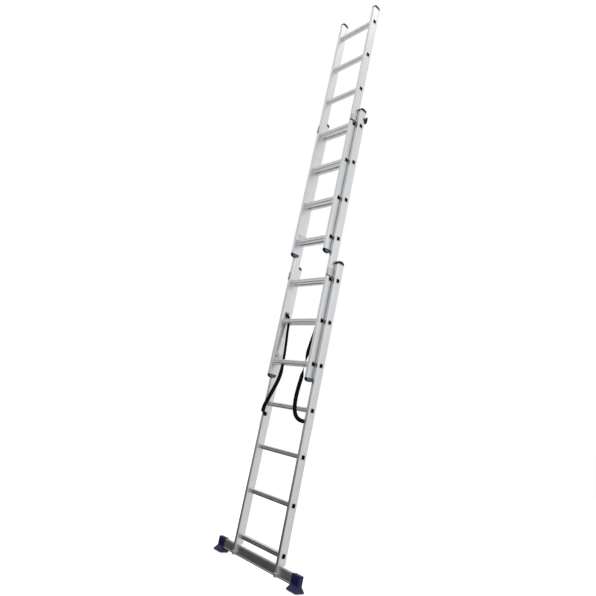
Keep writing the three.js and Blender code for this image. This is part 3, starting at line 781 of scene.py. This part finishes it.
def add_guide(section, side):
    """Bent sheet clamp in the gap between two nested stiles: a low tab, a cheek and a lip across the front."""
    low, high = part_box(f"{section.name}_guide_{side}")
    sign, sheet, bend, corner = SIDES[side], 0.0024, 0.0045, 0.004
    outer, inner = max(abs(low.x), abs(high.x)), min(abs(low.x), abs(high.x))
    front, back, tab_top, cheek_back = low.y + bend, high.y, low.z + 0.0197, section.front - 0.0063
    outline = [(front, low.z)] + arc((back - corner, low.z + corner), corner, -90, 0, 4)
    outline += arc((back - corner, tab_top - corner), corner, 0, 90, 4)
    outline += arc((cheek_back + corner, tab_top + corner), corner, 270, 180, 4)
    outline += arc((cheek_back - corner, high.z - corner), corner, 0, 90, 4) + [(front, high.z)]
    bm = side_plate(outline, sign * (outer - sheet), sign * outer)
    edge = [f for f in bm.faces if f.normal.y < -0.99 and abs(f.calc_center_median().y - front) < 1e-5]
    turned_in = bmesh.ops.spin(bm, geom=edge, cent=(sign * (outer - bend), front, 0.0), axis=(0, 0, 1),
                               angle=-sign * math.pi / 2, steps=5, use_duplicate=False)["geom_last"]
    lip = bmesh.ops.extrude_face_region(bm, geom=[g for g in turned_in if isinstance(g, bmesh.types.BMFace)])
    moved = [g for g in lip["geom"] if isinstance(g, bmesh.types.BMVert)]
    bmesh.ops.translate(bm, verts=moved, vec=(-sign * (outer - bend - inner), 0.0, 0.0))
    drop_inner_faces(bm)
    # A 1.3 mm ring round the edge of the cheek's outer face and of the lip's front face takes the black second
    # material: a painted shade outline round the plate.
    shade_outlined_faces = [f for f in bm.faces if f.calc_area() > 0.0003 and (f.normal.x * sign > 0.99 or f.normal.y < -0.99)]
    made = bmesh.ops.inset_individual(bm, faces=shade_outlined_faces, thickness=0.0013, depth=0.0, use_even_offset=True)
    for face in made["faces"]:
        face.material_index = 1
    round_edges(bm, sizes().sheet_round, 2, 50.0)
    for y in (section.front + 0.020, section.front + 0.0285):
        merge(bm, dome_rivet((sign * (outer - sheet), y, low.z + 0.0098), (-sign, 0, 0), 0.0034, 0.0016))
    piece_from(f"{section.name}_clamp_{side}", bm, "zinc_steel", section.name,
               (f"{section.name}_guide_{side}",), extra=("black_plastic",))


def add_guide_glides(section, side):
    """Black glide clipped round the lower edge of a clamp's lip and cheek, deeper on the middle section."""
    low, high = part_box(f"{section.name}_guide_{side}")
    sign = SIDES[side]
    outer, inner = max(abs(low.x), abs(high.x)), min(abs(low.x), abs(high.x))
    deep = 0.0070 if section is MIDDLE else 0.0035
    x0, x1 = sorted((sign * (inner + 0.0005), sign * (outer - 0.0006)))
    bm = block((x0, low.y - 0.0006, low.z - 0.0006), (x1, low.y + 0.0030, low.z + deep), 0.0005, 2)
    x0, x1 = sorted((sign * (outer - 0.0025), sign * (outer + 0.0002)))
    merge(bm, block((x0, low.y + 0.0020, low.z - 0.0006), (x1, section.front - 0.002, low.z + deep)))
    piece_from(f"{section.name}_clamp_glide_{side}", bm, "black_plastic", section.name)


# ---- rung hooks -------------------------------------------------------------------------------------


def add_hook(section, behind, side):
    """Latch plate: an eye on its pin, a shoulder and an inverted U over the rung behind."""
    low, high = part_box(f"{section.name}_hook_{side}")
    pin_low, pin_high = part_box(f"{section.name}_hook_pin_{side}")
    eye_y, eye_z = (pin_low.y + pin_high.y) / 2, (pin_low.z + pin_high.z) / 2
    eye, band, seat = 0.012, 0.008, RUNG_HALF + 0.0006
    top = seat + 0.001
    y, z = behind.y, section.rungs[0]
    outline = arc((eye_y, eye_z), eye, 180, 90, 8)
    outline += [(y, eye_z + eye)] + arc((y + seat, eye_z + eye - band), band, 90, 0, 6)
    outline += [(y + seat + band, z - seat / 2 + 0.002), (y + seat + band - 0.002, z - seat / 2),
                (y + seat, z - seat / 2)]
    outline += [(y + seat, z + top - 0.003), (y + seat - 0.003, z + top), (y - seat, z + top)]
    outline += [(eye_y + eye, z + top)] + arc((eye_y, eye_z), eye, -20, -180, 10)[:-1]
    bm = side_plate(outline, low.x, high.x)
    round_edges(bm, 0.0005, 2, 40.0)
    piece_from(f"{section.name}_latch_{side}", bm, "zinc_steel", f"{section.name}_hook_{side}",
               (f"{section.name}_hook_{side}",))


def add_hook_pin(section, side):
    low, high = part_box(f"{section.name}_hook_pin_{side}")
    sign = SIDES[side]
    y, z = (low.y + high.y) / 2, (low.z + high.z) / 2
    face = section.inner - 0.0030
    bm = dome_rivet((sign * face, y, z), (-sign, 0, 0), 0.0066, 0.0032)
    merge(bm, turned([(0.0, 0.0), (0.0, 0.0039), (0.0065, 0.0039), (0.0065, 0.0)], (sign * (face - 0.0005), y, z),
                     (sign, 0, 0), 20))
    piece_from(f"{section.name}_latch_pin_{side}", bm, "zinc_steel", section.name,
               (f"{section.name}_hook_pin_{side}",))


# ---- stepladder claws -------------------------------------------------------------------------------


def add_claw(side):
    """Upturned claw behind the middle stile's back edge, its cheek riveted to the outer face."""
    low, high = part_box(f"middle_claw_{side}")
    sign = SIDES[side]
    back = MIDDLE.back
    reach, band = high.y - back, 0.0062
    z0, z1 = low.z, high.z
    mid = (z0 + z1) / 2
    hook = [(back + 0.0004, z0 + 0.003)] + arc((back + 0.004, z0 + 0.0155), 0.0155, -100, -10, 10)
    hook += [(high.y, mid), (high.y - 0.001, z1 - 0.003), (high.y - 0.004, z1), (high.y - 0.0075, z1 - 0.002)]
    hook += [(high.y - band - 0.001, mid)] + arc((back + 0.004, z0 + 0.0175), 0.0095, -10, -80, 8)
    hook += [(back + 0.0004, z0 + 0.012)]
    x_in, x_out = sign * MIDDLE.inner, sign * max(abs(low.x), abs(high.x))
    bm = side_plate(hook, x_in, x_out)
    round_edges(bm, 0.0010, 2, 40.0)
    cheek = [(back - reach, mid + 0.002), (back - reach, mid - 0.004), (back - band, z0 + band),
             (back - 0.002, z0 + 0.001), (back + 0.003, z0 + 0.001), (back + 0.003, mid - 0.006),
             (back - reach + 0.005, mid + 0.008)]
    plate = side_plate(cheek, sign * (MIDDLE.outer + 0.0003), x_out)
    round_edges(plate, 0.0006, 2, 30.0)
    merge(bm, plate)
    for y, z in ((back - 0.013, mid - 0.004), (back - 0.006, z0 + 0.012)):
        merge(bm, dome_rivet((x_out, y, z), (sign, 0, 0), 0.0030, 0.0004))
    piece_from(f"stepladder_claw_{side}", bm, "black_plastic", "middle",
               (f"middle_claw_{side}",))


# ---- spread straps ----------------------------------------------------------------------------------

# From the upper end to the lower end, in metres: in from the middle stile's inner face, back from the
# middle of the space between the two sections' rungs, and up from the base's fifth rung.
STRAP_ROUTE = (
    (0.0025, -0.014, 0.345), (0.012, -0.009, 0.322), (0.021, -0.002, 0.296), (0.028, 0.0, 0.258),
    (0.034, 0.0, 0.205), (0.044, 0.0, 0.150), (0.052, 0.0, 0.095), (0.058, 0.0, 0.040),
    (0.061, 0.0, -0.010), (0.063, -0.001, -0.055), (0.062, -0.005, -0.098), (0.058, -0.015, -0.142),
    (0.051, -0.027, -0.186), (0.042, -0.038, -0.228), (0.032, -0.046, -0.266), (0.020, -0.051, -0.300),
    (0.010, -0.048, -0.325), (0.001, -0.040, -0.340), (-0.009, -0.029, -0.348), (-0.018, -0.016, -0.351),
    (-0.022, 0.0, -0.351), (-0.022, 0.014, -0.350),
)
STRAP_SWAY = {"left": 0.8, "right": 1.3}
STRAP_STEPS = 150


def strap_points(side):
    between = (MIDDLE.y + BASE.y) / 2
    fifth = BASE.rungs[4]
    points = []
    for inward, back, up in STRAP_ROUTE:
        sway = inward * STRAP_SWAY[side] if inward > 0 else inward
        x = SIDES[side] * (MIDDLE.inner - sway - sizes().strap_thickness / 2)
        points.append(Vector((x, between + back, fifth + up)))
    return points


def smooth_route(points, per_span):
    """Centripetal Catmull-Rom points through the given ones, evenly spaced along the curve."""
    ends = [2 * points[0] - points[1]] + points + [2 * points[-1] - points[-2]]
    dense = []
    for p0, p1, p2, p3 in zip(ends, ends[1:], ends[2:], ends[3:]):
        t1 = (p1 - p0).length ** 0.5
        t2 = t1 + (p2 - p1).length ** 0.5
        t3 = t2 + (p3 - p2).length ** 0.5
        for i in range(per_span):
            t = t1 + (t2 - t1) * i / per_span
            a1 = p0.lerp(p1, t / t1)
            a2 = p1.lerp(p2, (t - t1) / (t2 - t1))
            a3 = p2.lerp(p3, (t - t2) / (t3 - t2))
            b1 = a1.lerp(a2, t / t2)
            b2 = a2.lerp(a3, (t - t1) / (t3 - t1))
            dense.append(b1.lerp(b2, (t - t1) / (t2 - t1)))
    return dense + [points[-1]]


def even_points(dense, count):
    """Points along a dense line at equal distances, and the line's length."""
    along = [0.0]
    for a, b in zip(dense, dense[1:]):
        along.append(along[-1] + (b - a).length)
    points, i = [], 0
    for step in range(count + 1):
        at = along[-1] * step / count
        while i < len(dense) - 2 and along[i + 1] < at:
            i += 1
        span = along[i + 1] - along[i]
        points.append(dense[i].lerp(dense[i + 1], (at - along[i]) / span if span else 0.0))
    return points, along[-1]


def smoothstep(value, low, high):
    share = min(1.0, max(0.0, (value - low) / (high - low)))
    return share * share * (3 - 2 * share)


# Which way the webbing's width runs at shares of a strap's length, from its upper end to its lower end. The
# left strap lies across the ladder and the right one shows its edge halfway down.
STRAP_TURNS = {
    "left": ((0.0, (0, 1, 0)), (0.055, (-1, 0, 0)), (0.45, (-1, 0, 0)), (0.60, (-0.64, -0.77, 0)),
             (0.90, (-0.64, -0.77, 0)), (0.965, (0, 0, 1))),
    "right": ((0.0, (0, 1, 0)), (0.05, (0.64, 0.77, 0)), (0.30, (0.64, 0.77, 0)), (0.47, (-0.77, 0.64, 0)),
              (0.60, (-0.64, -0.77, 0))),
}
# Below its edge-on part the right strap keeps one flat side facing this way as it curls to its bolt.
RIGHT_STRAP_FACES = Vector((-0.77, 0.64, 0.0))


def strap_width_way(side, share):
    turns = STRAP_TURNS[side]
    for (start, before), (end, after) in zip(turns, turns[1:]):
        if share <= end:
            return Vector(before).lerp(Vector(after), smoothstep(share, start, end)).normalized()
    return Vector(turns[-1][1])


def ribbon(points, ways, width):
    """A flat ribbon: an edge across, extruded from point to point, with the webbing's map on it."""
    bm = bmesh.new()
    across = 6
    shares = [i / across - 0.5 for i in range(across + 1)]
    rows = [[bm.verts.new(points[0] + ways[0] * width * s) for s in shares]]
    edges = [bm.edges.new(pair) for pair in zip(rows[0], rows[0][1:])]
    for point, way in zip(points[1:], ways[1:]):
        made = bmesh.ops.extrude_edge_only(bm, edges=edges)["geom"]
        fresh = {g for g in made if isinstance(g, bmesh.types.BMVert)}
        row = [next(e.other_vert(old) for e in old.link_edges if e.other_vert(old) in fresh)
               for old in rows[-1]]
        for vert, share in zip(row, shares):
            vert.co = point + way * width * share
        edges = [g for g in made if isinstance(g, bmesh.types.BMEdge) and fresh.issuperset(g.verts)]
        rows.append(row)
    step = sum((b - a).length for a, b in zip(points, points[1:])) / (len(points) - 1)
    place = {vert: (i * step, share * width) for i, row in enumerate(rows) for vert, share in zip(row, shares)}
    layer = bm.loops.layers.uv.new("strap_map")
    for face in bm.faces:
        for loop in face.loops:
            loop[layer].uv = place[loop.vert]
    return bm


def add_strap(side):
    s = sizes()
    points, length = even_points(smooth_route(strap_points(side), 12), STRAP_STEPS)
    ways = []
    for i, point in enumerate(points):
        along = (points[min(i + 1, STRAP_STEPS)] - points[max(i - 1, 0)]).normalized()
        share = i / STRAP_STEPS
        way = strap_width_way(side, share)
        if side == "right" and share > STRAP_TURNS[side][-1][0]:
            way = RIGHT_STRAP_FACES.cross(along)
        way = (way - along * way.dot(along)).normalized()
        ways.append(way)
    piece = piece_from(f"woven_strap_{side}", ribbon(points, ways, s.strap_width), "black_webbing", None,
                       (f"spread_strap_{side}",), 40.0)
    solid = piece.modifiers.new("webbing_thickness", "SOLIDIFY")
    solid.thickness, solid.offset = s.strap_thickness, 0.0
    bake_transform(piece)


def add_strap_ends(side):
    """Where a strap is bolted on: an eyelet and washer with a domed bolt at each end."""
    points = strap_points(side)
    sign = SIDES[side]
    inward = (-sign, 0, 0)
    half = sizes().strap_thickness / 2
    for name, body, point, slide, radius in (("upper", "middle", points[0], Vector((0, 0, -0.006)), 0.0092),
                                             ("lower", "base", points[-1], Vector((0, 0.0035, 0)), 0.0078)):
        at = point + slide + Vector((-sign * half, 0, 0))
        bm = washer(at, inward, radius, 0.0014)
        merge(bm, dome_rivet(at + Vector((-sign * 0.0012, 0, 0)), inward, 0.0056, 0.0034))
        piece_from(f"strap_bolt_{name}_{side}", bm, "zinc_steel", body)


# ---- small fasteners and labels ---------------------------------------------------------------------


def add_stile_rivets(side):
    """A rivet in the front edge of the base stile."""
    x = BASE.stile_x(side)
    bm = bmesh.new()
    for z in (0.552,):
        merge(bm, dome_rivet((x, BASE.front, z), (0, -1, 0), 0.0042, 0.0018))
    piece_from(f"stile_rivet_{side}", bm, "zinc_steel", "base")


LABELS = (("base", 0.740, 0.930, 0.034), ("middle", 2.765, 2.850, 0.030))


def add_labels():
    """Blank white film on the right stiles' outer faces."""
    for name, z0, z1, width in LABELS:
        section = SECTIONS[name]
        bm = block((section.outer - 0.0001, section.y - width / 2, z0),
                   (section.outer + 0.00025, section.y + width / 2, z1))
        upright = [e for e in bm.edges if abs((e.verts[0].co - e.verts[1].co).x) > 0.0002]
        bmesh.ops.bevel(bm, geom=upright, offset=0.003, offset_type="OFFSET", affect="EDGES", segments=4,
                        profile=0.5, material=-1)
        piece_from(f"{name}_blank_label", bm, "blank_label", name)


# ---- stage ------------------------------------------------------------------------------------------

CAMERA_PLACE = (2.6970, -2.2942, 0.8624)
CAMERA_LOOK = (-0.75076, 0.62010, 0.22765)
CAMERA_ROLL = math.radians(12.014)
CAMERA_LENS = 32.98


def add_camera():
    data = bpy.data.cameras.new("studio_camera")
    data.lens, data.sensor_width = CAMERA_LENS, 36.0
    data.clip_start, data.clip_end = 0.05, 200.0
    camera = bpy.data.objects.new("studio_camera", data)
    bpy.context.scene.collection.objects.link(camera)
    camera.location = CAMERA_PLACE
    camera.rotation_mode = "QUATERNION"
    aim = Vector(CAMERA_LOOK).to_track_quat("-Z", "Y")
    camera.rotation_quaternion = aim @ Quaternion((0, 0, 1), CAMERA_ROLL)
    bpy.context.scene.camera = camera


def add_light(name, place, target, size, watts):
    data = bpy.data.lights.new(name, "AREA")
    data.shape, data.size, data.energy = "DISK", size, watts
    light = bpy.data.objects.new(name, data)
    light.location = place
    light.rotation_mode = "QUATERNION"
    light.rotation_quaternion = (Vector(target) - Vector(place)).to_track_quat("-Z", "Y")
    bpy.context.scene.collection.objects.link(light)


BRIGHT_SIDE = (0.60, 0.78, 0.10)


def add_world():
    """A white studio, darker low down on the near left, so that metal shows its shape."""
    world = bpy.data.worlds.new("white_studio")
    bpy.context.scene.world = world
    world.use_nodes = True
    nodes, links = world.node_tree.nodes, world.node_tree.links
    place = nodes.new("ShaderNodeTexCoord").outputs["Generated"]

    def spread(way, low, high, to_low, to_high):
        dot = nodes.new("ShaderNodeVectorMath")
        dot.operation = "DOT_PRODUCT"
        dot.inputs[1].default_value = Vector(way).normalized()
        links.new(place, dot.inputs[0])
        node = nodes.new("ShaderNodeMapRange")
        node.interpolation_type = "SMOOTHSTEP"
        for name, number in (("From Min", low), ("From Max", high), ("To Min", to_low), ("To Max", to_high)):
            node.inputs[name].default_value = number
        links.new(dot.outputs["Value"], node.inputs["Value"])
        return node.outputs["Result"]

    brighter = nodes.new("ShaderNodeMath")
    brighter.operation = "MAXIMUM"
    links.new(spread((0, 0, 1), -0.10, 0.24, 0.05, 0.78), brighter.inputs[0])
    links.new(spread(BRIGHT_SIDE, -0.72, 0.12, 0.05, 0.70), brighter.inputs[1])
    seen = nodes.new("ShaderNodeLightPath")
    pick = nodes.new("ShaderNodeMix")
    links.new(seen.outputs["Is Camera Ray"], pick.inputs[0])
    links.new(brighter.outputs["Value"], pick.inputs[2])
    pick.inputs[3].default_value = 1.0
    links.new(pick.outputs[0], nodes["Background"].inputs["Strength"])
    nodes["Background"].inputs["Color"].default_value = (1.0, 1.0, 1.0, 1.0)


def add_floor():
    """A white floor that metal doesn't mirror, as it would a bright sheet."""
    bm = bmesh.new()
    bmesh.ops.create_grid(bm, x_segments=8, y_segments=8, size=60.0)
    floor = piece_from("studio_floor", bm, "pale_floor")
    floor.visible_glossy = False
    floor.visible_diffuse = False


# ---- operators --------------------------------------------------------------------------------------


class LADDER_OT_stiles(bpy.types.Operator):
    """Finish the stiles"""

    bl_idname = "ladder.stiles"
    bl_label = "Stiles"

    def execute(self, context):
        for section in SECTION_NAMES:
            for side in SIDES:
                finish_cad_node(f"{section}_stile_{side}", "stile_aluminium")
        for side in SIDES:
            add_stile_rivets(side)
        return {"FINISHED"}


class LADDER_OT_rungs(bpy.types.Operator):
    """Build the ribbed rungs with their swaged ends"""

    bl_idname = "ladder.rungs"
    bl_label = "Rungs"

    def execute(self, context):
        for section in SECTIONS.values():
            add_rungs(section)
        return {"FINISHED"}


class LADDER_OT_caps(bpy.types.Operator):
    """Build the caps and shoes on the stiles' ends"""

    bl_idname = "ladder.caps"
    bl_label = "Caps and shoes"

    def execute(self, context):
        for section in SECTIONS.values():
            for side in SIDES:
                add_cap(section, side)
                if section is not BASE:
                    add_shoe(section, side)
        return {"FINISHED"}


class LADDER_OT_stabiliser(bpy.types.Operator):
    """Build the stabiliser bar, its feet and its bolts"""

    bl_idname = "ladder.stabiliser"
    bl_label = "Stabiliser"

    def execute(self, context):
        add_bar()
        for side in SIDES:
            add_foot(side)
            add_bar_bolt(side)
        return {"FINISHED"}


class LADDER_OT_guides(bpy.types.Operator):
    """Build the clamps that guide the nested sections"""

    bl_idname = "ladder.guides"
    bl_label = "Guides"

    def execute(self, context):
        for section in (BASE, MIDDLE):
            for side in SIDES:
                add_guide(section, side)
                add_guide_glides(section, side)
        return {"FINISHED"}


class LADDER_OT_hooks(bpy.types.Operator):
    """Build the rung latches, their pins and the stepladder claws"""

    bl_idname = "ladder.hooks"
    bl_label = "Hooks and claws"

    def execute(self, context):
        for section, behind in ((MIDDLE, BASE), (TOP, MIDDLE)):
            for side in SIDES:
                add_hook(section, behind, side)
                add_hook_pin(section, side)
        for side in SIDES:
            add_claw(side)
        return {"FINISHED"}


class LADDER_OT_straps(bpy.types.Operator):
    """Build the woven spread straps and their bolts"""

    bl_idname = "ladder.straps"
    bl_label = "Spread straps"

    def execute(self, context):
        for side in SIDES:
            add_strap(side)
            add_strap_ends(side)
        return {"FINISHED"}


class LADDER_OT_labels(bpy.types.Operator):
    """Add the blank labels"""

    bl_idname = "ladder.labels"
    bl_label = "Blank labels"

    def execute(self, context):
        add_labels()
        return {"FINISHED"}


class LADDER_OT_stage(bpy.types.Operator):
    """Set up the camera, the floor and the soft studio light"""

    bl_idname = "ladder.stage"
    bl_label = "Stage"

    def execute(self, context):
        context.scene.view_settings.view_transform = "Standard"
        add_camera()
        add_world()
        add_floor()
        add_light("overhead_softbox", (1.5, 0.6, 7.5), (0, 0, 1.8), 4.0, 60.0)
        add_light("right_softbox", (5.0, 1.6, 3.0), (0, 0, 1.8), 3.0, 14.0)
        return {"FINISHED"}


OPERATORS = (LADDER_OT_stage, LADDER_OT_stiles, LADDER_OT_rungs, LADDER_OT_caps, LADDER_OT_stabiliser,
             LADDER_OT_guides, LADDER_OT_hooks, LADDER_OT_straps, LADDER_OT_labels)


class LADDER_PT_panel(bpy.types.Panel):
    """Lists the ladder's pieces, sizes and colours"""

    bl_idname = "LADDER_PT_panel"
    bl_label = "Extension ladder"
    bl_space_type = "VIEW_3D"
    bl_region_type = "UI"
    bl_category = "Ladder"

    def draw(self, context):
        for operator in OPERATORS:
            self.layout.operator(operator.bl_idname)
        for settings in (context.scene.ladder_sizes, context.scene.ladder_colours):
            for name in settings.bl_rna.properties.keys():
                if name not in ("name", "rna_type"):
                    self.layout.prop(settings, name)


CLASSES = (LadderSizes, LadderColours, *OPERATORS, LADDER_PT_panel)


def register():
    for cls in CLASSES:
        bpy.utils.register_class(cls)
    bpy.types.Scene.ladder_sizes = bpy.props.PointerProperty(type=LadderSizes)
    bpy.types.Scene.ladder_colours = bpy.props.PointerProperty(type=LadderColours)


def unregister():
    del bpy.types.Scene.ladder_colours
    del bpy.types.Scene.ladder_sizes
    for cls in reversed(CLASSES):
        bpy.utils.unregister_class(cls)


def main():
    register()
    for operator in OPERATORS:
        getattr(bpy.ops.ladder, operator.bl_idname.split(".")[1])()


if __name__ == "__main__":
    main()
